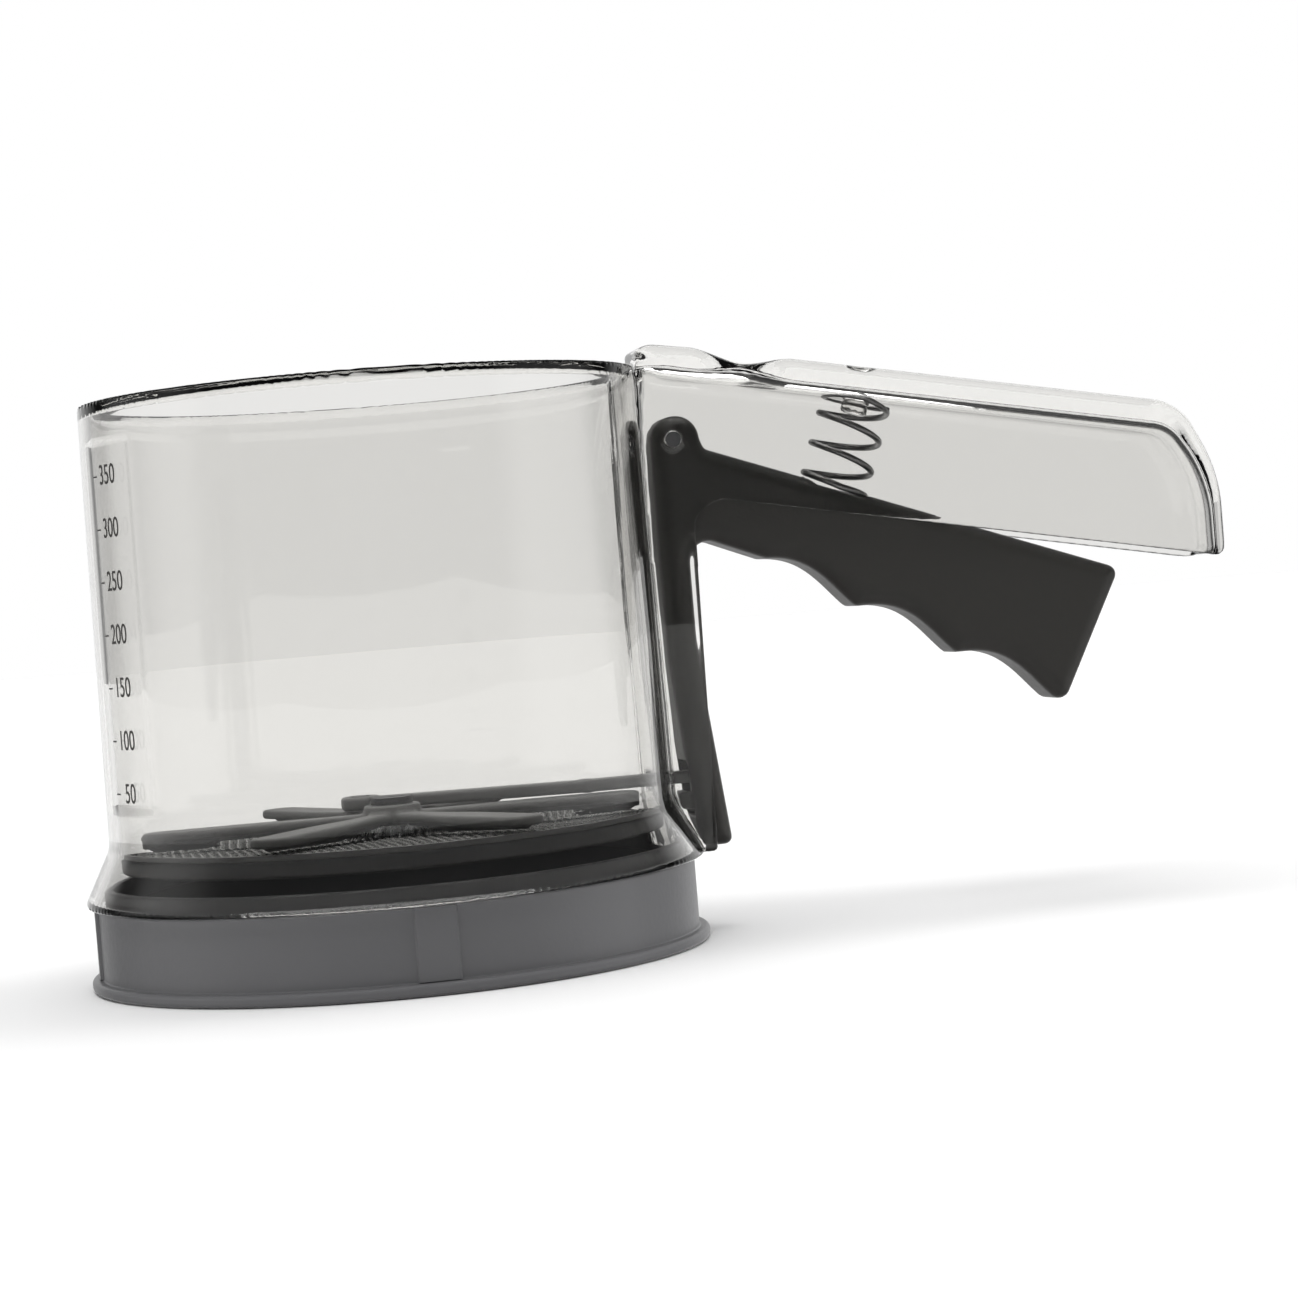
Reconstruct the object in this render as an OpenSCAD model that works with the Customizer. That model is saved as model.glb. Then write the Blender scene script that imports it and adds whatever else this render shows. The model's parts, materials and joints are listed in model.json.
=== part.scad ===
// One-hand flour sifter: a clear cup with a hollow handle, a trigger, and a wiper over a wire sieve.
// The origin is the centre of the base's flat bottom face. +Z is up and +X points along the handle.

/* [Cup] */
// Outer radius of the cup at its rim
rim_r = 54; // [53:0.5:55]
// Height of the rim above the base
rim_h = 112; // [110:1:116]
// Thickness of the clear plastic walls
wall = 2.2; // [2:0.1:2.4]
// How much wider the cup is at its foot than at its rim, on the radius
draft = 0.9; // [0.5:0.1:1]
// Outer radius of the flared skirt's bottom bead
bead_r = 60.2; // [59.8:0.2:61]

/* [Handle] */
// Distance from the cup's axis to the handle's far end
handle_reach = 174; // [168:0.5:178]
// Width of the handle
handle_w = 20; // [19.5:0.5:22]
// Slope of the handle's top line, in degrees below level
handle_slope = 10; // [8:0.5:11]
// Radius of the handle's long top edges
handle_round = 5; // [3:0.5:6]

/* [Trigger] */
// Play between the trigger and each side wall of its channel
side_play = 0.5; // [0.4:0.1:1]
// Diameter of the pivot pin
pin_d = 3; // [2.5:0.5:3.5]
// Number of finger grooves in the grip
grooves = 3; // [3:1:4]
// Depth of each finger groove
groove_depth = 3.3; // [1:0.1:4]

/* [Agitator] */
// Number of wiper arms
arms = 6; // [6:3:12]
// Length of each arm from the axis
arm_len = 49; // [46:0.5:49.5]
// Distance from the axis to the crank pin
crank_r = 12; // [11:0.5:13]

/* [Spring] */
// Outside diameter of the return spring
spring_d = 14.4; // [13:0.2:14.6]
// Diameter of the spring wire
wire_d = 1.2; // [1:0.1:1.4]
// Number of open coils
coils = 3; // [3:0.5:5]

/* [Base cover] */
// Outer radius of the cover's wall
cover_r = 58.2; // [57.8:0.1:58.6]
// Height of the cover's wall
cover_h = 15.8; // [15:0.1:15.8]
// Number of raised grip tabs
tabs = 4; // [2:1:8]

/* [Hidden] */
$fn = 128;

// Cup and skirt
skirt_top = 27;
skirt_foot = 17.3;
bead_h = 1.4;
foot_r = rim_r + draft;
rim_lip = 0.4;
rim_bevel = 1.8;
recess_r = foot_r + 1.7;

// Raised panel that carries the scale, near the side opposite the handle
panel_proud = 0.4;
panel_z = [35, 104];
panel_start = 191;
panel_sweep = 21;

// Channel between the two rail walls
channel_w = handle_w - 2 * wall;
rail_x = 62;
rail_foot = skirt_foot - bead_h;
rail_neck_z = 81;

// Handle outline
roof_t = 4.2;
end_wall = 2.6;
crest = [58.8, 116.7];
crest_corner = [crest[0] - 2.5, crest[1]];
crest_start = [rim_r - 10, rim_h - 4];
crest_round = 5;
under = [63.2, 85.95];
under_slope = 10.6;
rail_round = 6;
thumb_x = 76;
thumb_half = 11;
thumb_depth = 2;
end_tilt = 26.3;
end_bend_z = 82.5;
end_round = 11;
end_bend_round = 30;
end_foot_round = 3;

// Trigger outline
pivot = [60.1, 97.2];
lever_w = channel_w - 2 * side_play;
head_x = 61.4;
head_r = 4.8;
grip_start = [75.6, 72.4];
grip_end = [135.7, 39.6];
tip = [137.3, 37.8];
grip_len = norm(grip_end - grip_start);
grip_dir = (grip_end - grip_start) / grip_len;
grip_out = [grip_dir[1], -grip_dir[0]];
groove_skew = 0.82;
groove_fullness = 1.2;
shoulder = [67, 95.1];
heel = [151.6, 64.8];
arm_back = 62.4;
arm_neck_z = 79.5;
arm_bend_z = 57;
arm_front = [56.3, 54];
foot_x = [59.8, 66.7];
foot_z = 16.6;
pin_play = 0.06;

// Pocket and crossbar at the trigger's foot, which the push rod hooks onto
pocket_x = 63.2;
pocket_z = [22.8, 33.8];
pocket_w = 8.4;
bar_x = [56.2, 59.4];
bar_z = [24.2, 27.6];

// Push rod
rod_z = 29.3;
rod_t = 2.4;
rod_w = 5;
rod_bend_x = 38;
hook_x = [60, 62];
hook_z = 25.9;
slot_play = 0.4;
crank_play = 0.2;
crank_swing = 2.4;
eye_wall = 1.8;

// Agitator and its axle
arm_z = 27.2;
arm_t = 1.8;
arm_phase = -5;
rib_z = 26.4;
rib_t = 1.2;
root_w = 5;
root_end = 16;
tip_w = 8;
tip_start = 24;
hub_r = 5.6;
hub_top = 30.6;
crank_angle = 115;
crank_d = 3.4;
axle_d = 5;
axle_play = 0.05;
axle_head_r = 4.2;
axle_head_t = 1.2;
washer_t = 0.8;
screw_slot = 1.2;
washer_r = 5.4;
nut_w = 8;
nut_t = 3;

// Sieve, its crimped steel rim and its frame
mesh_z = 25.2;
mesh_t = 0.6;
mesh_r = 52.1;
rim_sheet = 0.25;
rim_in = 51;
frame_r = 52.75;
frame_in = 50.6;
frame_z = 21.6;
frame_top = mesh_z - rim_sheet - 0.05;
spokes = 3;
spoke_w = 4;
spoke_z = 22;
frame_hub_r = 7;
frame_hub_z = 20.8;

// Spring seats
seat = [93.9, 85.5];
spring_tilt = 19.7;
spring_len = 20.5;
seat_depth = 1;
peg_d = 5.4;
peg_len = 4.6;

// Base cover
floor_t = 1.8;
flange_r = 60.2;
flange_h = 2.2;
plug_r = 56.4;
plug_top = 19;
plug_notch_w = 23;
tab_w = 7.6;
tab_proud = 0.6;

// A unit vector along v
function unit(v) = v / norm(v);

// Points of an arc of radius r that rounds the corner at b between a and c
function corner(a, b, c, r, n = 8) =
    let (
        u = unit(a - b),
        v = unit(c - b),
        half = acos(u * v) / 2,
        centre = b + unit(u + v) * r / sin(half),
        first = b + u * r / tan(half) - centre,
        last = b + v * r / tan(half) - centre,
        start = atan2(first[1], first[0]),
        turn = atan2(last[1], last[0]) - start,
        sweep = turn > 180 ? turn - 360 : turn < -180 ? turn + 360 : turn
    )
    [for (i = [0:n]) centre + r * [cos(start + sweep * i / n), sin(start + sweep * i / n)]];

// Extrudes an outline drawn in X and Z, centred on Y
module slab(width) {
    rotate([90, 0, 0]) linear_extrude(width, center = true) children();
}

// Radius of the cup's outer wall at height z
function cup_r(z) = rim_r + draft * (rim_h - z) / (rim_h - skirt_top);

// Height at x of the straight line that the handle's top and the channel's roof follow
function slope_z(x) = crest[1] - (x - crest[0]) * tan(handle_slope);

// Height of the handle's top at x, with the shallow thumb rest behind the crest
function top_z(x) =
    let (t = (x - thumb_x) / thumb_half)
    slope_z(x) - (abs(t) < 1 ? thumb_depth * (1 + cos(180 * t)) / 2 : 0);

// Corners of the handle's end before rounding: the end is upright up to a bend and leans in above it
end_foot = [handle_reach, under[1] - (handle_reach - under[0]) * tan(under_slope)];
end_bend = [handle_reach, end_bend_z];
end_top_z = (slope_z(handle_reach) - end_bend_z * tan(handle_slope) * tan(end_tilt))
    / (1 - tan(handle_slope) * tan(end_tilt));
end_top = [handle_reach - (end_top_z - end_bend_z) * tan(end_tilt), end_top_z];

// Outline of the block that the handle and its rails are cut from
module handle_outline() {
    polygon(concat(
        corner(crest_start, crest_corner, [crest[0] + 4, top_z(crest[0] + 4)], crest_round),
        [for (x = [thumb_x - thumb_half + 1:2:thumb_x + thumb_half]) [x, top_z(x)]],
        corner(crest, end_top, end_bend, end_round),
        corner(end_top, end_bend, end_foot, end_bend_round),
        corner(end_bend, end_foot, under, end_foot_round),
        corner(end_foot, under, [rail_x + 0.3, rail_neck_z - 20], rail_round),
        [[rail_x, rail_foot], [crest_start[0], rail_foot]]));
}

// Outline of the channel inside the handle, open below and towards the cup
module channel_outline() {
    start = crest - [0, roof_t];
    top = end_top - [end_wall, roof_t];
    bend = end_bend - [end_wall, 0];
    foot = end_foot - [end_wall, 1];
    polygon(concat(
        corner(crest_start - [0, roof_t], crest_corner + [1, -roof_t], top, crest_round - 2),
        corner(start, top, bend, end_round - end_wall),
        corner(top, bend, foot, end_bend_round - end_wall),
        [foot, [rail_x + 20, rail_foot - 1], [crest_start[0], rail_foot - 1]]));
}

// Long bar with one rounded corner cut out of it, used to round the handle's two top edges
module edge_cutter(length, r) {
    difference() {
        cube([length, r + 1, r + 1]);
        translate([-1, 0, 0]) rotate([0, 90, 0]) cylinder(h = length + 2, r = r);
    }
}

// Rounds the long top edges of the handle on both sides
module handle_rounding() {
    for (side = [0, 1]) mirror([0, side, 0])
        translate([crest[0] + 26, handle_w / 2 - handle_round,
            crest[1] - 26 * tan(handle_slope) - handle_round / cos(handle_slope)])
            rotate([0, handle_slope, 0])
                edge_cutter(handle_reach, handle_round);
}

// Hollow handle, open underneath, with the two rail walls that run down beside the trigger
module handle() {
    difference() {
        slab(handle_w) handle_outline();
        slab(channel_w) channel_outline();
        handle_rounding();
    }
}

// Solid of revolution of the cup, its skirt and its bottom bead
module cup_body() {
    rotate_extrude($fn = 180) polygon(concat(
        [[cup_r(skirt_top) - wall, skirt_top], [cup_r(rim_h) - wall, rim_h - rim_bevel]],
        [[rim_r - rim_lip, rim_h], [rim_r, rim_h - rim_lip / 2], [foot_r, skirt_top]],
        [[bead_r - 0.2, skirt_foot], [bead_r, skirt_foot - bead_h / 2]],
        [[bead_r - 0.2, skirt_foot - bead_h], [bead_r - wall, skirt_foot - bead_h]]));
}

// Wall that closes the skirt behind the trigger's foot, where the flare is cut away
module recessed_wall() {
    intersection() {
        rotate_extrude($fn = 180) polygon([
            [foot_r - wall, skirt_top + 1], [foot_r, skirt_top + 1], [foot_r, skirt_top],
            [recess_r, rail_foot], [recess_r - wall, rail_foot]]);
        translate([foot_r, 0, skirt_top]) cube([30, channel_w + wall, 40], center = true);
    }
}

// Everything inside the cup's outer wall, cut away from the handle and rails
module cup_inside() {
    rotate_extrude($fn = 180) polygon([[0, rail_foot - 1], [recess_r - wall, rail_foot - 1],
        [recess_r - wall, rail_foot], [foot_r - wall, skirt_top],
        [cup_r(rim_h) - wall, rim_h + 0.01], [rim_r - 0.5, rim_h + 0.02], [rim_r - 3, 130], [0, 130]]);
}

// Centre line of the spring: children are drawn with +Z pointing from the trigger to the roof
module on_spring_axis() {
    translate([seat[0], 0, seat[1]]) rotate([0, spring_tilt, 0]) children();
}

// Low raised panel on the cup's outer wall
module scale_panel() {
    low = cup_r(panel_z[0]);
    high = cup_r(panel_z[1]);
    rotate([0, 0, panel_start]) rotate_extrude(angle = panel_sweep, $fn = 180) polygon([
        [low - wall / 2, panel_z[0]], [low + panel_proud, panel_z[0]],
        [high + panel_proud, panel_z[1]], [high - wall / 2, panel_z[1]]]);
}

module cup_shell() {
    color([0.72, 0.72, 0.7, 0.4])
        difference() {
            union() {
                difference() {
                    cup_body();
                    translate([foot_r + 15, 0, rail_foot + 5])
                        cube([30, channel_w, 2 * (skirt_top - rail_foot - 5)], center = true);
                }
                difference() {
                    union() {
                        handle();
                        intersection() {
                            on_spring_axis() translate([0, 0, spring_len - peg_len])
                                cylinder(h = peg_len + 4, d = peg_d);
                            translate([0, 0, -wall / 2]) slab(handle_w) handle_outline();
                        }
                    }
                    cup_inside();
                }
                recessed_wall();
                scale_panel();
            }
            translate([pivot[0], 0, pivot[1]]) rotate([90, 0, 0])
                cylinder(h = handle_w + 2, d = pin_d, center = true);
            translate([foot_r, 0, rod_z + rod_t / 2])
                cube([12, rod_w + 2 * slot_play, rod_t + 2 * slot_play], center = true);
        }
}

// Point of the grip's underside at distance s along it; each groove is deepest before its middle
function grip_point(s) =
    let (
        turns = grooves * s / grip_len,
        share = pow(turns - floor(turns), groove_skew),
        wave = pow(sin(180 * share), groove_fullness)
    )
    grip_start + grip_dir * s - grip_out * groove_depth * wave;

module lever_outline() {
    head_left = head_x - head_r;
    head_right = head_x + head_r;
    head_top = pivot[1] + head_r;
    polygon(concat(
        corner([head_left, pivot[1]], [head_left, head_top], [head_x, head_top], head_r - 0.2),
        corner([head_x, head_top], [head_right, head_top], [head_right, pivot[1]], head_r - 0.2),
        corner([head_right, pivot[1]], shoulder, heel, 1.5),
        corner(shoulder, heel, tip, 1),
        corner(heel, tip, grip_point(grip_len - 3), 2.3),
        [for (i = [60:-1:2]) grip_point(i * grip_len / 62)],
        corner(grip_start, [arm_back, arm_neck_z], [arm_back, arm_bend_z], 4),
        corner([arm_back, arm_neck_z], [arm_back, arm_bend_z], [foot_x[1], foot_z], 30),
        corner([arm_back, arm_bend_z], [foot_x[1], foot_z], [foot_x[0], foot_z], 1),
        corner([foot_x[1], foot_z], [foot_x[0], foot_z], arm_front, 1),
        corner([foot_x[0], foot_z], arm_front, [head_left, pivot[1]], 25)));
}

module trigger_lever() {
    color([0.2, 0.2, 0.19])
        difference() {
            slab(lever_w) lever_outline();
            translate([pivot[0], 0, pivot[1]]) rotate([90, 0, 0])
                cylinder(h = lever_w + 2, d = pin_d + 2 * pin_play, center = true);
            translate([pocket_x - 20, -pocket_w / 2, pocket_z[0]])
                cube([20, pocket_w, pocket_z[1] - pocket_z[0]]);
            on_spring_axis() translate([0, 0, -seat_depth])
                cylinder(h = 10, d = spring_d + 0.6);
        }
    color([0.2, 0.2, 0.19])
        translate([bar_x[0], -pocket_w / 2, bar_z[0]])
            cube([bar_x[1] - bar_x[0], pocket_w, bar_z[1] - bar_z[0]]);
}

module lever_pin() {
    color([0.75, 0.76, 0.78])
        translate([pivot[0], 0, pivot[1]]) rotate([90, 0, 0])
            cylinder(h = handle_w - 1, d = pin_d, center = true);
}

// Points of the spring's centre line: flat end coils and open coils between them
function spring_height(turn) =
    let (open = spring_len + seat_depth - 2 * wire_d - 0.5)
    turn < 0.75 ? 0 : turn > coils + 0.75 ? open : open * (turn - 0.75) / coils;

// Round wire that follows the coil, one short straight piece per step
module return_spring() {
    steps = 16;
    r = (spring_d - wire_d) / 2;
    turns = coils + 1.5;
    color([0.35, 0.35, 0.36])
        on_spring_axis() translate([0, 0, wire_d / 2 + 0.2 - seat_depth])
            coil(r, turns, steps);
}

module coil(r, turns, steps) {
    count = turns * steps;
    ring = [for (a = [0:60:300]) wire_d / 2 * [cos(a), sin(a)]];
    points = [for (i = [0:count], w = ring)
        let (turn = i / steps, a = 360 * turn)
        [(r + w[0]) * cos(a), (r + w[0]) * sin(a), spring_height(turn) + w[1]]];
    sides = [for (i = [0:count - 1], k = [0:5])
        [i * 6 + k, (i + 1) * 6 + k, (i + 1) * 6 + (k + 1) % 6, i * 6 + (k + 1) % 6]];
    polyhedron(points, concat(sides, [[0, 1, 2, 3, 4, 5]], [[for (k = [5:-1:0]) count * 6 + k]]));
}

// Position of the crank pin about the agitator's axis
crank = crank_r * [cos(crank_angle), sin(crank_angle)];

// Bar from the trigger's hook to the slotted eye that rides on the crank pin
module push_rod() {
    eye_r = crank_d / 2 + crank_play + eye_wall;
    color([0.4, 0.4, 0.39])
        difference() {
            union() {
                translate([rod_bend_x, -rod_w / 2, rod_z])
                    cube([hook_x[1] - rod_bend_x, rod_w, rod_t]);
                translate([hook_x[0], -rod_w / 2, hook_z])
                    cube([hook_x[1] - hook_x[0], rod_w, rod_z - hook_z + 0.1]);
                translate([0, 0, rod_z]) linear_extrude(rod_t) {
                    translate([rod_bend_x, 0]) circle(d = rod_w);
                    polygon(bar_between([rod_bend_x, 0], crank + [2, 0], rod_w));
                }
                translate([0, 0, rod_z]) linear_extrude(rod_t + 0.2) slot_shape(eye_r);
            }
            translate([0, 0, rod_z - 1]) linear_extrude(rod_t + 3)
                slot_shape(crank_d / 2 + crank_play);
        }
}

// Corners of a straight bar of width w from a to b, in plan
function bar_between(a, b, w) =
    let (d = unit(b - a), side = w / 2 * [-d[1], d[0]])
    [a + side, a - side, b - side, b + side];

// Slot in plan that lets the crank pin swing sideways as it turns
module slot_shape(r) {
    for (side = [-1, 1]) translate(crank + [0, side * crank_swing / 2]) circle(r = r);
    translate(crank) square([2 * r, crank_swing], center = true);
}

// One wiper arm along +X with a rounded tip and a scraping rib underneath
module wiper_arm() {
    tip_x = arm_len - tip_w / 2;
    translate([0, 0, arm_z]) linear_extrude(arm_t) {
        polygon([[0, -root_w / 2], [root_end, -root_w / 2], [tip_start, -tip_w / 2],
            [tip_x, -tip_w / 2], [tip_x, tip_w / 2], [tip_start, tip_w / 2],
            [root_end, root_w / 2], [0, root_w / 2]]);
        translate([tip_x, 0]) circle(d = tip_w);
    }
    translate([washer_r + 1, -rib_t / 2, rib_z])
        cube([arm_len - washer_r - 3, rib_t, arm_z - rib_z + 0.1]);
}

module agitator() {
    color([0.42, 0.42, 0.41])
        difference() {
            union() {
                for (i = [0:arms - 1]) rotate([0, 0, arm_phase + i * 360 / arms]) wiper_arm();
                translate([0, 0, arm_z - 0.5]) cylinder(h = hub_top - arm_z + 0.5, r = hub_r);
                translate([crank[0], crank[1], arm_z + 0.3])
                    cylinder(h = rod_z - 0.5 - arm_z, d = crank_d + 3);
                translate([crank[0], crank[1], arm_z + 0.5])
                    cylinder(h = rod_z + rod_t - 0.2 - arm_z, d = crank_d);
            }
            translate([0, 0, arm_z - 2]) cylinder(h = 10, d = axle_d + 2 * axle_play);
        }
}

module sieve_mesh() {
    color([0.62, 0.62, 0.6])
        translate([0, 0, mesh_z]) difference() {
            cylinder(h = mesh_t, r = mesh_r);
            translate([0, 0, -1]) cylinder(h = 3, d = axle_d + 0.4);
        }
}

// Thin steel channel crimped round the edge of the mesh
module mesh_rim() {
    color([0.62, 0.62, 0.6])
        difference() {
            translate([0, 0, mesh_z - rim_sheet])
                cylinder(h = mesh_t + 2 * rim_sheet, r = mesh_r + rim_sheet);
            translate([0, 0, mesh_z]) cylinder(h = mesh_t, r = mesh_r);
            translate([0, 0, mesh_z - 1]) cylinder(h = mesh_t + 2, r = rim_in);
        }
}

module mesh_frame() {
    color([0.25, 0.25, 0.26])
        difference() {
            union() {
                translate([0, 0, frame_z]) difference() {
                    cylinder(h = frame_top - frame_z, r = frame_r);
                    translate([0, 0, -1]) cylinder(h = frame_top, r = frame_in);
                }
                for (i = [0:spokes - 1]) rotate([0, 0, 30 + i * 360 / spokes])
                    translate([0, -spoke_w / 2, spoke_z])
                        cube([frame_in + 1, spoke_w, frame_top - 0.4 - spoke_z]);
                translate([0, 0, frame_hub_z]) cylinder(h = mesh_z - frame_hub_z, r = frame_hub_r);
            }
            translate([0, 0, frame_hub_z - 1]) cylinder(h = 10, d = axle_d + 2 * axle_play);
        }
}

// Shouldered screw that the agitator turns on
module agitator_axle() {
    foot = frame_hub_z - nut_t - 0.4;
    head = hub_top + 0.2;
    color([0.3, 0.3, 0.3])
        difference() {
            union() {
                translate([0, 0, foot]) cylinder(h = head + 0.1 - foot, d = axle_d);
                translate([0, 0, head]) cylinder(h = axle_head_t, r = axle_head_r);
            }
            translate([0, 0, head + axle_head_t]) cube([10, screw_slot, screw_slot], center = true);
        }
}

module axle_washer() {
    color([0.75, 0.76, 0.78])
        translate([0, 0, mesh_z + mesh_t]) difference() {
            cylinder(h = washer_t, r = washer_r);
            translate([0, 0, -1]) cylinder(h = 3, d = axle_d + 0.3);
        }
}

module axle_nut() {
    color([0.75, 0.76, 0.78])
        translate([0, 0, frame_hub_z - nut_t]) difference() {
            cylinder(h = nut_t, d = nut_w / cos(30), $fn = 6);
            translate([0, 0, -1]) cylinder(h = nut_t + 2, d = axle_d);
        }
}

module base_cover() {
    color([0.42, 0.42, 0.43]) {
        difference() {
            union() {
                rotate_extrude($fn = 180) polygon([[0, 0], [flange_r - 0.5, 0], [flange_r, 0.5],
                    [flange_r, flange_h - 0.5], [flange_r - 0.5, flange_h], [cover_r, flange_h],
                    [cover_r, cover_h], [plug_r, cover_h], [plug_r, plug_top],
                    [plug_r - 1.6, plug_top], [plug_r - 1.6, cover_h - 1.6],
                    [cover_r - 1.8, cover_h - 1.6], [cover_r - 1.8, floor_t], [0, floor_t]]);
                for (i = [0:tabs - 1]) rotate([0, 0, i * 360 / tabs])
                    intersection() {
                        translate([0, 0, flange_h - 0.2])
                            cylinder(h = cover_h - flange_h + 0.2, r = cover_r + tab_proud);
                        translate([cover_r - 1, -tab_w / 2, 0]) cube([5, tab_w, cover_h]);
                    }
            }
            translate([plug_r - 6, -plug_notch_w / 2, cover_h]) cube([10, plug_notch_w, 10]);
        }
    }
}

cup_shell();
trigger_lever();
lever_pin();
return_spring();
push_rod();
agitator();
sieve_mesh();
mesh_rim();
mesh_frame();
agitator_axle();
axle_washer();
axle_nut();
base_cover();
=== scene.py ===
import json
import math

import bmesh
import bpy
import numpy as np
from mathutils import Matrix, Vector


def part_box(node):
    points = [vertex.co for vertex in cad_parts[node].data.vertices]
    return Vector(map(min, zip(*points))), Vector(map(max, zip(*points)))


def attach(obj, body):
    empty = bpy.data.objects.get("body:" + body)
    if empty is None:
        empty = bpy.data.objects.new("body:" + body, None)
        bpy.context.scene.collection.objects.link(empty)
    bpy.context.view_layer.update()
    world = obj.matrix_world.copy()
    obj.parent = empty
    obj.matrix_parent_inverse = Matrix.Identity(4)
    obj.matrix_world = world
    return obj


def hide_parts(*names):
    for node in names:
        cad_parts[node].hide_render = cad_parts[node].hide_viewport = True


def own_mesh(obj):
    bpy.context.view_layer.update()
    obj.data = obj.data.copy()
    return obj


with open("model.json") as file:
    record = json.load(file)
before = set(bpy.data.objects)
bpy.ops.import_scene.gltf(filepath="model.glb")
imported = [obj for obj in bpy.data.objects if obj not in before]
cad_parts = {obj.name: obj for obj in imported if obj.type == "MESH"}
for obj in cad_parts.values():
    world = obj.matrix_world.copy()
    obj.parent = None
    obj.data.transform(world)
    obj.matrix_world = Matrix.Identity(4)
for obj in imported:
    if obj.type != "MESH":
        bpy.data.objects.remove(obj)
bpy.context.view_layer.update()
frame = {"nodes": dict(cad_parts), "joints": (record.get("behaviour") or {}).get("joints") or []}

import openvdb
from mathutils import Matrix, Vector

# Moulded pieces are drawn as distance fields in millimetres and turned into smooth meshes in metres.
# A number in an outline is an offset from a named place, or the radius of one of its corners.
MM = 0.001


# ---- Places and sizes read from the frame -------------------------------------------------------

def box_mm(node):
    """Lowest and highest corner of a CAD node in millimetres."""
    low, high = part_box(node)
    return low / MM, high / MM


def node_points(node):
    """Vertices of a CAD node in millimetres, as an array."""
    mesh = frame["nodes"][node].data
    co = np.zeros(len(mesh.vertices) * 3)
    mesh.vertices.foreach_get("co", co)
    return co.reshape(-1, 3) / MM


def far_side_radius(node, z_low, z_high):
    """Largest radius of a node about the cup's axis in a band of height, on the side away from the handle."""
    p = node_points(node)
    band = p[(p[:, 2] > z_low) & (p[:, 2] < z_high) & (p[:, 0] < 0)]
    return float(np.hypot(band[:, 0], band[:, 1]).max())


joints = {j["name"]: j for j in frame["joints"]}
PIVOT = Vector(joints["trigger_pivot"]["pos_m"]) / MM

shell_low, shell_high = box_mm("cup_shell")
lever_low, lever_high = box_mm("trigger_lever")
wiper_low, wiper_high = box_mm("agitator")
rod_low, rod_high = box_mm("push_rod")
mesh_low, mesh_high = box_mm("sieve_mesh")
frame_low, frame_high = box_mm("mesh_frame")
cover_low, cover_high = box_mm("base_cover")
pin_low, pin_high = box_mm("lever_pin")
PIN_R = (pin_high.x - pin_low.x) / 2

WALL = 2.2
shell_points = node_points("cup_shell")
RIM_Z = float(shell_points[shell_points[:, 0] < 0][:, 2].max())
RIM_R = far_side_radius("cup_shell", RIM_Z - 1, RIM_Z + 1)
RIM_BEVEL = 2.1
ABOVE_RIM = RIM_Z + 20
BEAD_R = -shell_low.x
BEAD_H = 1.4
SKIRT_TOP = mesh_low.z + 1.8
SKIRT_FOOT = shell_low.z + BEAD_H
FOOT_R = RIM_R + 0.9
RECESS_R = FOOT_R + 1.7
HANDLE_W = 20.0
CHANNEL_W = HANDLE_W - 2 * WALL
HANDLE_REACH = shell_high.x
CREST = Vector((58.8, shell_high.z))
BEHIND_WALL = CREST.x - 16
AXLE_BORE = 2.55


# ---- Distance fields ----------------------------------------------------------------------------

def outline_distance(points, u, v):
    """Signed distance in the plane to a closed outline; negative inside."""
    points = np.asarray(points, float)
    best = np.full(np.broadcast(u, v).shape, np.inf)
    inside = np.zeros(best.shape, bool)
    for (ax, ay), (bx, by) in zip(points, np.roll(points, -1, 0)):
        ex, ey = bx - ax, by - ay
        length = ex * ex + ey * ey
        if length < 1e-12:
            continue
        t = np.clip(((u - ax) * ex + (v - ay) * ey) / length, 0, 1)
        best = np.minimum(best, np.hypot(u - ax - t * ex, v - ay - t * ey))
        crosses = (ay > v) != (by > v)
        if ey:
            inside ^= crosses & (u < ax + (v - ay) * ex / ey)
    return np.where(inside, -best, best)


def slab(flat, across, half, radius):
    """A flat outline given a thickness, with every outer edge rounded to a radius."""
    a = flat + radius
    b = np.abs(across) - half + radius
    return np.minimum(np.maximum(a, b), 0) + np.hypot(np.maximum(a, 0), np.maximum(b, 0)) - radius


def join(a, b, k):
    """Union of two solids with a fillet of about k."""
    h = np.clip(0.5 + 0.5 * (b - a) / k, 0, 1)
    return b + (a - b) * h - k * h * (1 - h)


def cut(a, b, k):
    """Solid a with b taken away, the new edge softened by about k."""
    return -join(-a, b, k)


def cylinder(px, py, radius):
    """Distance to an endless cylinder, from its two cross-section coordinates."""
    return np.hypot(px, py) - radius


def block(x, y, z, low, high, radius=0.0):
    """Distance to a box with rounded edges."""
    sides = []
    for c, a, b in zip((x, y, z), low, high):
        sides.append(np.abs(c - (a + b) / 2) - (b - a) / 2 + radius)
    outside = np.sqrt(sum(np.maximum(s, 0) ** 2 for s in sides))
    inside = np.minimum(np.maximum(np.maximum(sides[0], sides[1]), sides[2]), 0)
    return outside + inside - radius


def arc_corner(a, b, c, radius, steps=10):
    """Points of the arc that rounds the corner at b between a and c."""
    a, b, c = Vector(a), Vector(b), Vector(c)
    u, v = (a - b).normalized(), (c - b).normalized()
    half = u.angle(v) / 2
    centre = b + (u + v).normalized() * radius / math.sin(half)
    start, end = b + u * radius / math.tan(half) - centre, b + v * radius / math.tan(half) - centre
    angle = math.atan2(start.y, start.x)
    sweep = math.remainder(math.atan2(end.y, end.x) - angle, math.tau)
    turns = [angle + sweep * i / steps for i in range(steps + 1)]
    return [centre + radius * Vector((math.cos(a), math.sin(a))) for a in turns]


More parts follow.
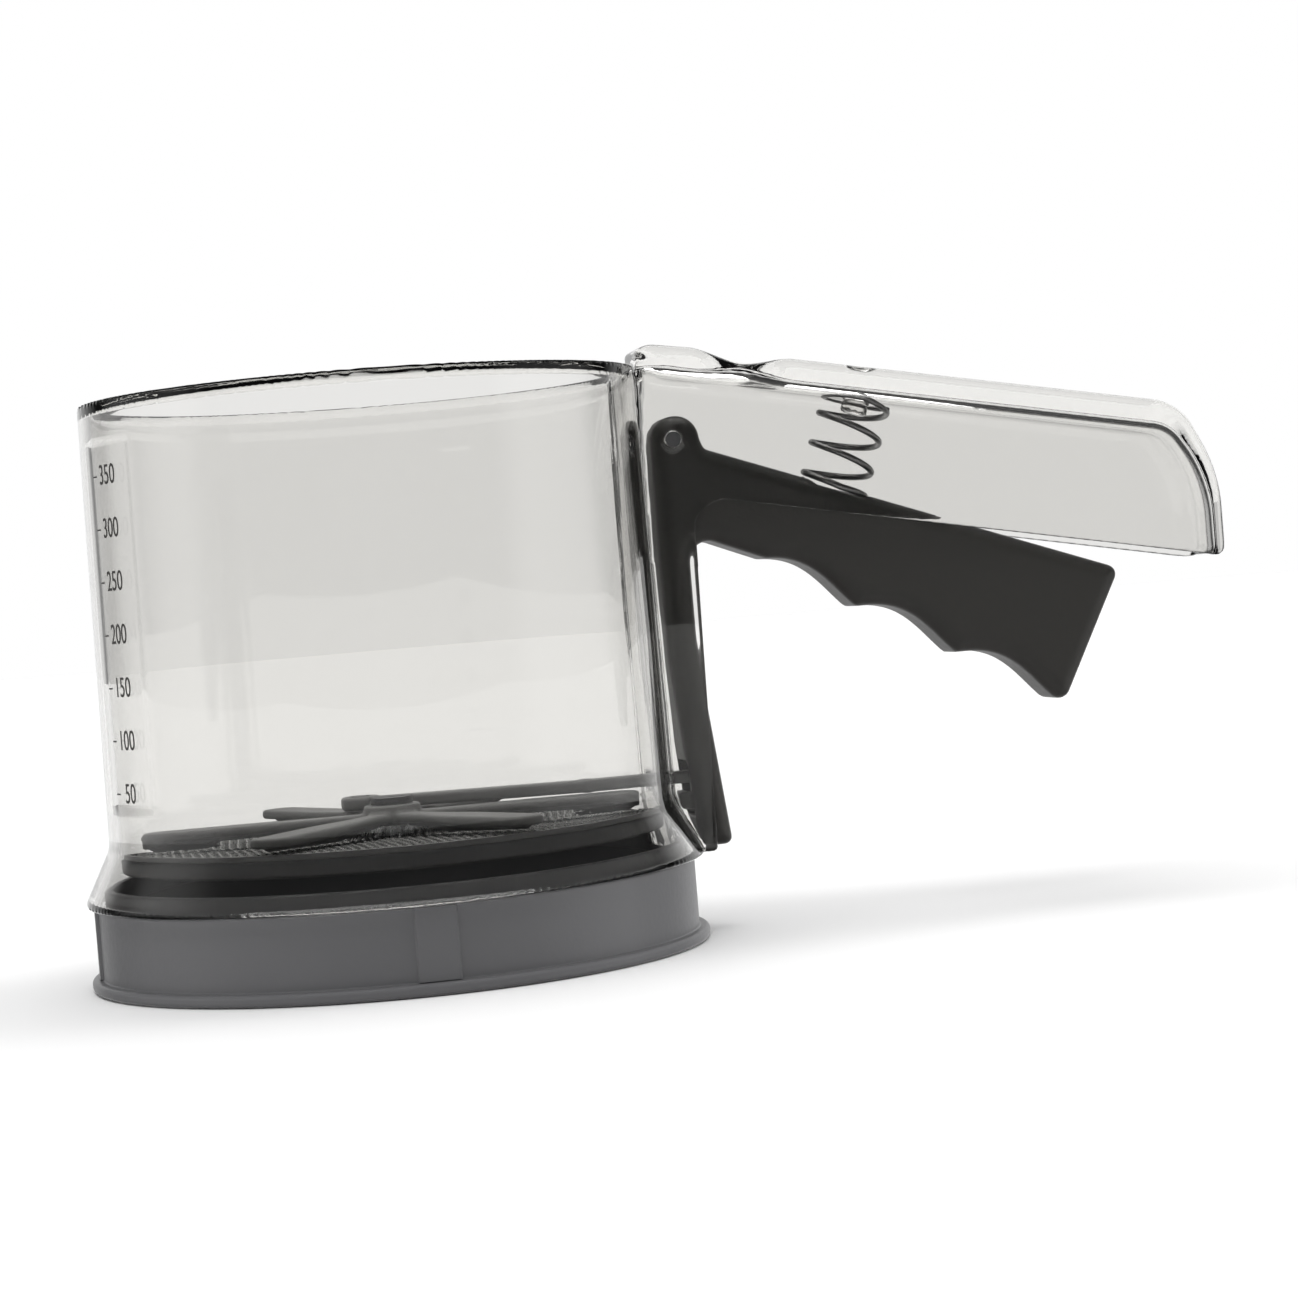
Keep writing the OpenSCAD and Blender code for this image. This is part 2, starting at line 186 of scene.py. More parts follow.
def outline(corners):
    """Closed outline from (x, y, radius) corners; a radius of 0 keeps the corner sharp."""
    points = []
    for i, (x, y, r) in enumerate(corners):
        before, after = corners[i - 1], corners[(i + 1) % len(corners)]
        points += arc_corner(before[:2], (x, y), after[:2], r) if r else [Vector((x, y))]
    return [tuple(p) for p in points]


def cross_bar(x, z, y, radius):
    """Distance to an endless bar across the object, through the trigger's pivot."""
    return cylinder(x - PIVOT.x, z - PIVOT.z, radius) + 0 * y


def along_arm(x, y, angle):
    """Coordinates along and across an arm that points at an angle in plan."""
    return x * math.cos(angle) + y * math.sin(angle), y * math.cos(angle) - x * math.sin(angle)


def link(obj_name, mesh):
    """A new object in the scene that shows the mesh."""
    obj = bpy.data.objects.new(obj_name, mesh)
    bpy.context.scene.collection.objects.link(obj)
    return obj


def mesh_of(data, temp_name):
    """Mesh of a text or wire curve, which is dropped afterwards."""
    temp = link(temp_name, data)
    mesh = bpy.data.meshes.new_from_object(temp.evaluated_get(bpy.context.evaluated_depsgraph_get()))
    bpy.data.objects.remove(temp)
    return mesh


def solid(name, distance, low, high, step, body, replaced):
    """Mesh of a distance field, sampled on a grid of the given step, riding on a CAD body."""
    pad = 2 * step
    axes = [np.arange(a - pad, b + pad, step) for a, b in zip(low, high)]
    x = axes[0][:, None, None]
    y = axes[1][None, :, None]
    z = axes[2][None, None, :]
    field = np.broadcast_to(distance(x, y, z), (len(axes[0]), len(axes[1]), len(axes[2])))
    band = 3 * step
    grid = openvdb.FloatGrid(band)
    grid.copyFromArray(np.clip(field, -band, band).astype(np.float32))
    points, triangles, quads = grid.convertToPolygons(isovalue=0.0, adaptivity=0.0)
    points = points * step + np.array([a[0] for a in axes])
    mesh = bpy.data.meshes.new(name)
    faces = quads.tolist() + triangles.tolist()
    mesh.from_pydata((points * MM).tolist(), [], faces)
    mesh.validate()
    mesh.shade_smooth()
    return place(link(name, mesh), body, replaced)


def place(obj, body, replaced):
    """Hangs a finished piece on its body and hides the CAD nodes it stands for."""
    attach(obj, body)
    if replaced:
        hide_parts(*replaced)
    return obj


SHARP_EDGE = math.radians(40)


def lathe(name, section, angles, reshape, body, replaced):
    """Surface of revolution of a closed list of (r, z); reshape(angle, r, z) may move each point."""
    mesh = bpy.data.meshes.new(name)
    bm = bmesh.new()
    rings = []
    for angle in angles:
        ring = []
        for r, z in section:
            r, z = reshape(angle, r, z)
            ring.append(bm.verts.new((r * math.cos(angle) * MM, r * math.sin(angle) * MM, z * MM)))
        rings.append(ring)
    for ring, following in zip(rings, rings[1:] + rings[:1]):
        for i in range(len(section)):
            j = (i + 1) % len(section)
            bm.faces.new((ring[i], following[i], following[j], ring[j]))
    bmesh.ops.remove_doubles(bm, verts=bm.verts, dist=1e-7)
    bmesh.ops.recalc_face_normals(bm, faces=bm.faces)
    bm.to_mesh(mesh)
    bm.free()
    mesh.shade_smooth()
    mesh.set_sharp_from_angle(angle=SHARP_EDGE)
    return place(link(name, mesh), body, replaced)


# ---- Cup, handle and rails: one clear moulding --------------------------------------------------

HANDLE_SLOPE = math.tan(math.radians(10))
UNDER = Vector((63.2, 85.95))
UNDER_SLOPE = math.tan(math.radians(10.6))
RAIL_X = 62.0
EDGE_ROUND = 5.0
CREST_ROUND = 5
THUMB_X, THUMB_HALF, THUMB_DEPTH = 76.0, 11.0, 2.0
END_TILT = math.tan(math.radians(26.3))
END_BEND_Z = 82.5
END_WALL, ROOF_T = 2.6, 4.2
END_ROUND, END_BEND_ROUND, END_FOOT_ROUND = 11.0, 30.0, 3.0
CHANNEL_ROUND = 3.5
RAIL_ROUND = 6.0
PANEL_ANGLE, PANEL_HALF = math.radians(201.5), math.radians(10.5)
PANEL_Z = (35.0, 104.0)
PANEL_PROUD, PANEL_EDGE = 0.2, 1.6
SCALE_Z, SCALE_PITCH, SCALE_STEPS = 38.2, 9.9, 7
SCALE_SIZE, SCALE_NARROW = 5.3, 0.85
SCALE_LINE, SCALE_LINE_SIZE = 5.6, (1.8, 0.3)
PRINT_T, PRINT_LIFT = 0.04, 0.03
SCALE_SHIFT = math.radians(1.9)
SPRING_TILT = math.radians(19.7)
SEAT = Vector((93.9, 0, 85.5))
SPRING_DIR = Vector((math.sin(SPRING_TILT), 0, math.cos(SPRING_TILT)))
SPRING_LEN = 20.5
PEG_R, PEG_LEN, PEG_ROUND = 2.7, 4.6, 0.4
ROD_Z, ROD_T, ROD_W = 29.3, 2.4, 5.0
ROD_SLOT_PLAY = 0.4


def slope_z(x):
    """Height of the straight line that the handle's top and the channel's roof follow."""
    return CREST.y - (x - CREST.x) * HANDLE_SLOPE


def top_z(x):
    """Height of the handle's top, with the thumb rest behind the crest."""
    t = (x - THUMB_X) / THUMB_HALF
    dip = THUMB_DEPTH * (1 + math.cos(math.pi * t)) / 2 if abs(t) < 1 else 0
    return slope_z(x) - dip


def under_z(x):
    """Height of the lower edge of the handle's side walls."""
    return UNDER.y - (x - UNDER.x) * UNDER_SLOPE


def end_corners():
    """Corners of the handle's end, before rounding: top, bend and foot."""
    slope = HANDLE_SLOPE * END_TILT
    top = (slope_z(HANDLE_REACH) - END_BEND_Z * slope) / (1 - slope)
    return (Vector((HANDLE_REACH - (top - END_BEND_Z) * END_TILT, top)), Vector((HANDLE_REACH, END_BEND_Z)),
            Vector((HANDLE_REACH, under_z(HANDLE_REACH))))


def handle_side():
    """Side outline of the closed block that the handle and rails are cut from."""
    top, bend, foot = end_corners()
    brow = CREST.x + 4
    points = arc_corner((BEHIND_WALL, RIM_Z - 6), (CREST.x - 2.5, CREST.y), (brow, top_z(brow)), CREST_ROUND)
    points += [(x, top_z(x)) for x in np.arange(THUMB_X - THUMB_HALF + 1, THUMB_X + THUMB_HALF, 1)]
    points += arc_corner(CREST, top, bend, END_ROUND, 16)
    points += arc_corner(top, bend, foot, END_BEND_ROUND, 16)
    points += [(foot.x, foot.y - 30), (BEHIND_WALL, foot.y - 80)]
    return [tuple(p) for p in points]


def channel_side():
    """Side outline of the channel inside the handle, open below and towards the cup."""
    top, bend, foot = end_corners()
    roof = CREST - Vector((0, ROOF_T))
    top = top - Vector((END_WALL, ROOF_T))
    bend = bend - Vector((END_WALL, 0))
    foot = foot - Vector((END_WALL, 30))
    inner_crest = (CREST.x - 1.5, roof.y)
    points = arc_corner((BEHIND_WALL + 1, RIM_Z - 4 - ROOF_T), inner_crest, top, CREST_ROUND - 2)
    points += arc_corner(roof, top, bend, END_ROUND - END_WALL, 16)
    points += arc_corner(top, bend, foot, END_BEND_ROUND - END_WALL, 16)
    points += [foot, (BEHIND_WALL, foot.y - 50)]
    return [tuple(p) for p in points]


def handle_opening():
    """Side outline of the space below the handle and beyond the rails."""
    low, far = shell_low.z, HANDLE_REACH + 60
    neck = (RAIL_X + 1.2, under_z(RAIL_X + 1.2))
    bend, foot = end_corners()[1:]
    points = [(RAIL_X, low - 40)]
    points += arc_corner((RAIL_X, low), neck, foot, RAIL_ROUND)
    points += arc_corner(neck, foot, bend, END_FOOT_ROUND)
    points += [(far, points[-1].y), (far, low - 40)]
    return [tuple(p) for p in points]


def cup_section():
    """Section of the cup: wall with a bevelled rim, flared skirt and bottom bead."""
    bead_foot = SKIRT_FOOT - BEAD_H
    return outline([(FOOT_R - WALL, SKIRT_TOP, 9), (RIM_R - WALL, RIM_Z - RIM_BEVEL, 0.2),
                    (RIM_R - 0.2, RIM_Z, 0.1), (RIM_R, RIM_Z - 0.2, 0.05), (FOOT_R, SKIRT_TOP, 6),
                    (BEAD_R - 0.3, SKIRT_FOOT, 1), (BEAD_R, SKIRT_FOOT - BEAD_H / 2, 0.3),
                    (BEAD_R - 0.3, bead_foot, 0.4), (BEAD_R - WALL, bead_foot, 0.4)])


def turned(section, x, y, z):
    """Distance to a section turned about the cup's axis, looked up on a fine scale of radii per height."""
    radius = np.hypot(x, y)[:, :, 0]
    fine = 0.1
    scale = np.arange(0, radius.max() + fine, fine)
    heights = z.ravel()
    table = outline_distance(section, scale[:, None], heights[None, :])
    field = np.empty((radius.shape[0], radius.shape[1], len(heights)))
    for i in range(len(heights)):
        field[:, :, i] = np.interp(radius, scale, table[:, i])
    return field


def scale_panel(x, y, z):
    """How far the raised scale panel stands out of the cup's wall at each place."""
    along, across = along_arm(x, y, PANEL_ANGLE)
    swing = np.abs(np.arctan2(across, along))
    side = np.clip((PANEL_HALF - swing) * RIM_R / PANEL_EDGE + 0.5, 0, 1)
    end = np.clip((np.minimum(z - PANEL_Z[0], PANEL_Z[1] - z)) / PANEL_EDGE + 0.5, 0, 1)
    return PANEL_PROUD * side * end


def middle_of_wall(below):
    """Section of the space inside the middle of the cup's wall; below lists its points under the skirt."""
    return [(0, 0), *below, (FOOT_R - WALL / 2, SKIRT_TOP), (RIM_R - WALL / 2, RIM_Z),
            (RIM_R - WALL / 2, ABOVE_RIM), (0, ABOVE_RIM)]


def cup_distance(x, y, z):
    """Cup and skirt, with the flare cut away behind the trigger's foot and closed by a recessed wall."""
    cup = turned(cup_section(), x, y, z)
    outer_wall = turned(middle_of_wall([(FOOT_R - WALL / 2, 0)]), x, y, z)
    cup = cup - scale_panel(x, y, z) * (outer_wall > 0)
    flare_gap = block(x, y, z, (FOOT_R, -CHANNEL_W / 2, 0), (FOOT_R + 30, CHANNEL_W / 2, SKIRT_TOP))
    cup = cut(cup, flare_gap, 0.5)
    recess = turned([(FOOT_R - WALL, SKIRT_TOP + 1), (FOOT_R, SKIRT_TOP + 1), (FOOT_R, SKIRT_TOP),
                     (RECESS_R, shell_low.z), (RECESS_R - WALL, shell_low.z)], x, y, z)
    recess = np.maximum(recess, np.maximum(np.abs(y) - CHANNEL_W / 2 - WALL / 2, -x))
    return join(cup, recess, 0.5)


def on_spring_axis(x, z):
    """Coordinates along the spring's centre line, from its seat, and off it in the side view."""
    along = (x - SEAT.x) * SPRING_DIR.x + (z - SEAT.z) * SPRING_DIR.z
    off = (x - SEAT.x) * SPRING_DIR.z - (z - SEAT.z) * SPRING_DIR.x
    return along, off


def handle_distance(x, y, z):
    """Hollow handle with its two rails and the spring's peg, ending in the middle of the cup's wall."""
    outer = slab(outline_distance(handle_side(), x, z), y, HANDLE_W / 2, EDGE_ROUND)
    channel = slab(outline_distance(channel_side(), x, z), y, CHANNEL_W / 2, CHANNEL_ROUND)
    hollow = cut(outer, channel, 0.3)
    hollow = cut(hollow, outline_distance(handle_opening(), x, z), 0.5)
    hollow = np.maximum(hollow, shell_low.z - z)
    along, off = on_spring_axis(x, z)
    peg = np.maximum(cylinder(off, y, PEG_R - PEG_ROUND), SPRING_LEN - PEG_LEN - along) - PEG_ROUND
    peg = np.maximum(peg, outer + WALL / 2)
    hollow = join(hollow, peg, 1.0)
    below = [(RECESS_R - WALL / 2, 0), (RECESS_R - WALL / 2, shell_low.z)]
    return cut(hollow, turned(middle_of_wall(below), x, y, z), 0.3)


def shell_distance(x, y, z):
    """The whole clear moulding, with the hole for the lever pin and the slot for the push rod."""
    body = join(cup_distance(x, y, z), handle_distance(x, y, z), 0.4)
    body = cut(body, cross_bar(x, z, y, PIN_R + 0.1), 0.2)
    slot_low = (FOOT_R - 6, -ROD_W / 2 - ROD_SLOT_PLAY, ROD_Z - ROD_SLOT_PLAY)
    slot_high = (FOOT_R + 6, ROD_W / 2 + ROD_SLOT_PLAY, ROD_Z + ROD_T + ROD_SLOT_PLAY)
    return cut(body, block(x, y, z, slot_low, slot_high, 0.3), 0.3)


def build_shell():
    return solid("clear_shell", shell_distance, shell_low, shell_high, 0.55, "cup", ["cup_shell"])


# ---- Trigger ------------------------------------------------------------------------------------

LEVER_W = lever_high.y - lever_low.y
LEVER_ROUND = 3.5
HEAD_X, HEAD_R = 61.4, 4.8
GRIP_START, GRIP_END = Vector((75.6, 72.4)), Vector((135.7, 39.6))
GROOVES = 3
GROOVE_DEPTH = 3.3
GROOVE_SKEW = 0.82
GROOVE_FULLNESS = 1.2
SHOULDER = (67, 95.1)
HEEL = (lever_high.x + 0.3, 64.8)
TIP = (137.3, 37.8)
ARM_BACK = 62.4
ARM_NECK_Z, ARM_BEND_Z = 79.5, 57
ARM_FRONT = (56.3, 54)
FOOT_FRONT_X, FOOT_BACK_X = 59.8, 66.7
PIN_PLAY = 0.06
POCKET_LOW, POCKET_HIGH = (42, -4.2, 22.8), (63.2, 4.2, 33.8)
CROSSBAR_LOW, CROSSBAR_HIGH = (56.2, -4.4, 24.2), (59.4, 4.4, 27.6)
SEAT_R, SEAT_DEPTH = 7.5, 1


def grip_point(t):
    """Point of the grip's underside at share t of its length; each groove is deepest before its middle."""
    along = GRIP_START.lerp(GRIP_END, t)
    d = (GRIP_END - GRIP_START).normalized()
    share = (GROOVES * t % 1) ** GROOVE_SKEW
    return along + Vector((-d.y, d.x)) * GROOVE_DEPTH * math.sin(math.pi * share) ** GROOVE_FULLNESS


def lever_side():
    """Side outline of the trigger: round head, grip with finger grooves, tapering lower arm."""
    left, right = HEAD_X - HEAD_R, HEAD_X + HEAD_R
    top, foot = PIVOT.z + HEAD_R, lever_low.z
    foot_front, foot_back = (FOOT_FRONT_X, foot), (FOOT_BACK_X, foot)
    points = arc_corner((left, PIVOT.z), (left, top), (HEAD_X, top), HEAD_R - 0.1)
    points += arc_corner((HEAD_X, top), (right, top), (right, PIVOT.z), HEAD_R - 0.1)
    points += arc_corner((right, PIVOT.z), SHOULDER, HEEL, 1.5)
    points += arc_corner(SHOULDER, HEEL, TIP, 2)
    points += arc_corner(HEEL, TIP, grip_point(0.956), 2.3)
    points += [grip_point(t) for t in np.linspace(0.96, 0.03, 80)]
    points += arc_corner(GRIP_START, (ARM_BACK, ARM_NECK_Z), (ARM_BACK, ARM_BEND_Z), 4)
    points += arc_corner((ARM_BACK, ARM_NECK_Z), (ARM_BACK, ARM_BEND_Z), foot_back, 30)
    points += arc_corner((ARM_BACK, ARM_BEND_Z), foot_back, foot_front, 1.5)
    points += arc_corner(foot_back, foot_front, ARM_FRONT, 1.2)
    points += arc_corner(foot_front, ARM_FRONT, (left, 92), 25)
    return [tuple(p) for p in points]


def lever_distance(x, y, z):
    """Trigger with its pin hole, the pocket and crossbar that hold the push rod, and the spring's seat."""
    body = slab(outline_distance(lever_side(), x, z), y, LEVER_W / 2, LEVER_ROUND)
    body = cut(body, cross_bar(x, z, y, PIN_R + PIN_PLAY), 0.2)
    body = cut(body, block(x, y, z, POCKET_LOW, POCKET_HIGH, 0.3), 0.3)
    along, off = on_spring_axis(x, z)
    body = cut(body, np.maximum(cylinder(off, y, SEAT_R), -SEAT_DEPTH - along), 0.3)
    return np.minimum(body, block(x, y, z, CROSSBAR_LOW, CROSSBAR_HIGH, 0.6))


def build_lever():
    return solid("trigger", lever_distance, lever_low, lever_high, 0.5, "trigger", ["trigger_lever"])


# ---- Wiper, push rod and axle -------------------------------------------------------------------

ARMS = 6
ARM_LEN = 49.0
CRANK_R = 12.0
CRANK_ANGLE = math.radians(115)
CRANK = CRANK_R * Vector((math.cos(CRANK_ANGLE), math.sin(CRANK_ANGLE)))
ARM_PHASE = math.radians(-5)
ARM_Z, ARM_T = 27.2, 1.8
ARM_ROOT_END, ARM_TIP_START = 14, 26
ARM_ROOT_HALF, ARM_TIP_HALF = 2.5, 4
HUB_R, HUB_H = 5.6, 3.9
RIB_HALF = 0.6
CRANK_PIN_R, COLLAR_R = 1.7, 3.2
EYE_R, EYE_SLOT_R, EYE_HALF_SLOT = 3.7, 1.9, 1.2
ROD_BEND = Vector((38, 0))
ROD_EDGE = 0.6
HOOK_T = 2


def arm_plan():
    """Plan of one arm along +X, narrow at the root and round at the tip."""
    half = [(-2, ARM_ROOT_HALF, 0), (ARM_ROOT_END, ARM_ROOT_HALF, 20), (ARM_TIP_START, ARM_TIP_HALF, 20),
            (ARM_LEN, ARM_TIP_HALF, ARM_TIP_HALF - 0.05)]
    return outline([(u, -v, r) for u, v, r in half] + half[::-1])


def wiper_distance(x, y, z):
    """Hub with its arms, each stiffened by a rib below, and the crank pin on its collar."""
    body = slab(cylinder(x, y, HUB_R), z - (ARM_Z + HUB_H / 2 - 0.5), HUB_H / 2, 0.6)
    plan = arm_plan()
    for i in range(ARMS):
        u, v = along_arm(x, y, ARM_PHASE + math.tau * i / ARMS)
        arm = slab(outline_distance(plan, u, v), z - (ARM_Z + ARM_T / 2), ARM_T / 2, 0.7)
        rib_low, rib_high = (6.4, -RIB_HALF, wiper_low.z), (ARM_LEN - 2, RIB_HALF, ARM_Z + 0.5)
        rib = block(u, v, z, rib_low, rib_high, 0.25)
        body = join(body, join(arm, rib, 0.4), 0.9)
    px, py = x - CRANK.x, y - CRANK.y
    collar = slab(cylinder(px, py, COLLAR_R), z - (ARM_Z + 1), 0.9, 0.3)
    pin_mid = (ARM_Z + wiper_high.z) / 2
    pin = slab(cylinder(px, py, CRANK_PIN_R), z - pin_mid, wiper_high.z - pin_mid, 0.4)
    body = join(join(body, collar, 0.5), pin, 0.3)
    return cut(body, cylinder(x, y, AXLE_BORE) + 0 * z, 0.2)


def rod_distance(x, y, z):
    """Push rod: hook at the trigger, straight bar, oblique bar and the slotted eye over the crank pin."""
    mid = ROD_Z + ROD_T / 2
    rod_end = (rod_high.x, ROD_W / 2, ROD_Z + ROD_T)
    straight = block(x, y, z, (ROD_BEND.x, -ROD_W / 2, ROD_Z), rod_end, ROD_EDGE)
    hook = block(x, y, z, (rod_high.x - HOOK_T, -ROD_W / 2, rod_low.z), rod_end, ROD_EDGE)
    dx, dy = CRANK - ROD_BEND
    t = np.clip(((x - ROD_BEND.x) * dx + (y - ROD_BEND.y) * dy) / (dx * dx + dy * dy), 0, 1)
    from_line = np.hypot(x - ROD_BEND.x - t * dx, y - ROD_BEND.y - t * dy)
    oblique = slab(from_line - ROD_W / 2, z - mid, ROD_T / 2, ROD_EDGE)
    slot = np.hypot(x - CRANK.x, np.maximum(np.abs(y - CRANK.y) - EYE_HALF_SLOT, 0))
    ring = slab(slot - EYE_R, z - (mid + 0.1), ROD_T / 2 + 0.1, ROD_EDGE)
    body = join(join(join(straight, hook, 0.4), oblique, 0.6), ring, 0.6)
    return cut(body, slot - EYE_SLOT_R + 0 * z, 0.2)


def build_wiper():
    solid("wiper", wiper_distance, wiper_low, wiper_high, 0.4, "wiper", ["agitator"])
    solid("connecting_rod", rod_distance, rod_low, rod_high, 0.35, "rod", ["push_rod"])


# ---- Sieve --------------------------------------------------------------------------------------

WIRE_PITCH = 1.15
WIRE_R = 0.19
WIRE_SIDES = 3
MESH_MARGIN = 0.2
FRAME_IN = 50.6
FRAME_HUB_R = 7
SPOKES, SPOKE_HALF, SPOKE_START = 3, 2, math.radians(30)


def woven_wires():
    """Plain weave: each wire rises and falls past the wires that cross it, inside the sieve's disc."""
    limit = (mesh_high.x - mesh_low.x) / 2 - MESH_MARGIN
    middle = (mesh_low.z + mesh_high.z) / 2
    count = int(limit / WIRE_PITCH)
    vertices, faces = [], []
    around = [math.pi / 2 + math.tau * k / WIRE_SIDES for k in range(WIRE_SIDES)]
    ring = [(math.cos(a) * WIRE_R, math.sin(a) * WIRE_R) for a in around]
    for turn in (0, 1):
        for i in range(-count, count + 1):
            offset = i * WIRE_PITCH
            reach = int(math.sqrt(limit * limit - offset * offset) / WIRE_PITCH)
            first = len(vertices)
            for j in range(-reach, reach + 1):
                side = 1 if (i + j + turn) % 2 else -1
                for dv, dw in ring:
                    along, across = j * WIRE_PITCH, offset + dv
                    u, v = (across, along) if turn else (along, across)
                    x, y = (u - v) * math.sqrt(0.5), (u + v) * math.sqrt(0.5)
                    vertices.append((x * MM, y * MM, (middle + side * WIRE_R + dw) * MM))
            faces += wire_faces(first, 2 * reach)
    mesh = bpy.data.meshes.new("sieve_wires")
    mesh.from_pydata(vertices, [], faces)
    mesh.shade_smooth()
    bm = bmesh.new()
    bm.from_mesh(mesh)
    bmesh.ops.recalc_face_normals(bm, faces=bm.faces)
    bm.to_mesh(mesh)
    bm.free()
    return place(link("sieve_wires", mesh), "cup", ["sieve_mesh"])


def wire_faces(first, steps):
    """Faces of one closed wire whose rings of vertices start at the given index."""
    faces = []
    for j in range(steps):
        for k in range(WIRE_SIDES):
            a = first + WIRE_SIDES * j + k
            b = first + WIRE_SIDES * j + (k + 1) % WIRE_SIDES
            faces.append((a, b, b + WIRE_SIDES, a + WIRE_SIDES))
    if steps:
        last = first + WIRE_SIDES * steps
        faces.append((first + 2, first + 1, first))
        faces.append((last, last + 1, last + 2))
    return faces


def frame_distance(x, y, z):
    """Plastic ring under the sieve, with its spokes and a hub for the axle."""
    outer = frame_high.x
    low, top = frame_low.z + 0.8, mesh_low.z - 0.3
    hub_mid, hub_half = (frame_low.z + frame_high.z) / 2, (frame_high.z - frame_low.z) / 2
    r = np.hypot(x, y)
    rim = np.abs(r - (outer + FRAME_IN) / 2) - (outer - FRAME_IN) / 2
    ring = slab(rim, z - (low + top) / 2, (top - low) / 2, 0.3)
    body = join(ring, slab(r - FRAME_HUB_R, z - hub_mid, hub_half, 0.4), 0.3)
    for i in range(SPOKES):
        u, v = along_arm(x, y, SPOKE_START + math.tau * i / SPOKES)
        spoke_low, spoke_high = (0, -SPOKE_HALF, low + 0.4), (FRAME_IN + 1, SPOKE_HALF, top - 0.4)
        body = join(body, block(u, v, z, spoke_low, spoke_high, 0.4), 0.5)
    return cut(body, r - AXLE_BORE + 0 * z, 0.2)


def build_frame():
    return solid("sieve_frame", frame_distance, frame_low, frame_high, 0.4, "cup", ["mesh_frame"])


# ---- Printed scale ------------------------------------------------------------------------------

def wall_r(z):
    """Outer radius of the cup's wall at height z."""
    return RIM_R + (FOOT_R - RIM_R) * (RIM_Z - z) / (RIM_Z - SKIRT_TOP)


def scale_number(value):
    """Flat mesh of one number in the default typeface."""
    text = bpy.data.curves.new("scale_text", "FONT")
    text.body = str(value)
    text.size = SCALE_SIZE
    text.align_x, text.align_y = "CENTER", "CENTER"
    text.extrude = PRINT_T
    return mesh_of(text, "scale_temp")


def build_scale():
    """Numbers and short lines of the printed scale, bent round the cup's panel."""
    bm = bmesh.new()
    for i in range(SCALE_STEPS):
        z = SCALE_Z + i * SCALE_PITCH
        number = scale_number(50 * (i + 1))
        number.transform(Matrix.Translation((0, z, 0)) @ Matrix.Diagonal((SCALE_NARROW, 1, 1, 1)))
        bm.from_mesh(number)
        bpy.data.meshes.remove(number)
        line = Matrix.Translation((-SCALE_LINE, z, 0)) @ Matrix.Diagonal((*SCALE_LINE_SIZE, 2 * PRINT_T, 1))
        bmesh.ops.create_cube(bm, size=1, matrix=line)
    for v in bm.verts:
        across, up, out = v.co
        r = wall_r(up) + PANEL_PROUD + PRINT_LIFT + out
        angle = PANEL_ANGLE + SCALE_SHIFT + across / RIM_R
        v.co = (r * math.cos(angle) * MM, r * math.sin(angle) * MM, up * MM)
    bmesh.ops.recalc_face_normals(bm, faces=bm.faces)
    mesh = bpy.data.meshes.new("scale_print")
    bm.to_mesh(mesh)
    bm.free()
    return place(link("scale_print", mesh), "cup", [])


# ---- Base cover ---------------------------------------------------------------------------------

COVER_R = 58.2
COVER_H = 15.8
COVER_WALL = 1.8
FLANGE_H = 2.2
PLUG_R, PLUG_WALL = 56.4, 1.6
TABS = 4
TAB_HALF = 3.8 / COVER_R
TAB_PROUD = 0.6
TAB_EDGE = 0.0035
NOTCH_HALF = math.asin(11.5 / PLUG_R)
NOTCH_EDGE = 0.001
COVER_STEPS = 180


def cover_shape(angle, r, z):
    """The grip tabs stand proud of the wall, and the plug stops short under the handle."""
    off_tab = abs(math.remainder(angle, math.tau / TABS))
    if off_tab < TAB_HALF and COVER_R - 0.1 < r < COVER_R + 0.1 and z > FLANGE_H + 0.2:
        return r + TAB_PROUD, z
    if abs(math.remainder(angle, math.tau)) < NOTCH_HALF:
        return r, min(z, COVER_H)
    return r, z


def cover_angles():
    """Even steps round the cover, with closer ones at the sides of the tabs and of the notch."""
    angles = [math.tau * i / COVER_STEPS for i in range(COVER_STEPS)]
    for side in (-1, 1):
        angles += [side * (NOTCH_HALF + d) for d in (-NOTCH_EDGE, NOTCH_EDGE)]
        for k in range(TABS):
            edges = (-TAB_EDGE, TAB_EDGE, 3 * TAB_EDGE)
            angles += [k * math.tau / TABS + side * (TAB_HALF + d) for d in edges]
    return sorted({round(a % math.tau, 6) for a in angles})


def build_cover():
    top, inner = cover_high.z, COVER_R - COVER_WALL
    under_plug = COVER_H - PLUG_WALL
    section = outline([(0, 0, 0), (cover_high.x, 0, 0.8), (cover_high.x, FLANGE_H, 0.8),
                       (COVER_R, FLANGE_H, 0.4), (COVER_R, COVER_H, 0.5), (PLUG_R, COVER_H, 0.2),
                       (PLUG_R, top, 0.4), (PLUG_R - PLUG_WALL, top, 0.4),
                       (PLUG_R - PLUG_WALL, under_plug, 0.4), (inner, under_plug, 0.6),
                       (inner, COVER_WALL, 1), (0, COVER_WALL, 0)])
    return lathe("cover", section, cover_angles(), cover_shape, "cover", ["base_cover"])


# ---- Return spring ------------------------------------------------------------------------------

SPRING_R, SPRING_WIRE, COILS = 6.6, 0.65, 3.0
END_COIL = 0.75
SPRING_STEPS = 28


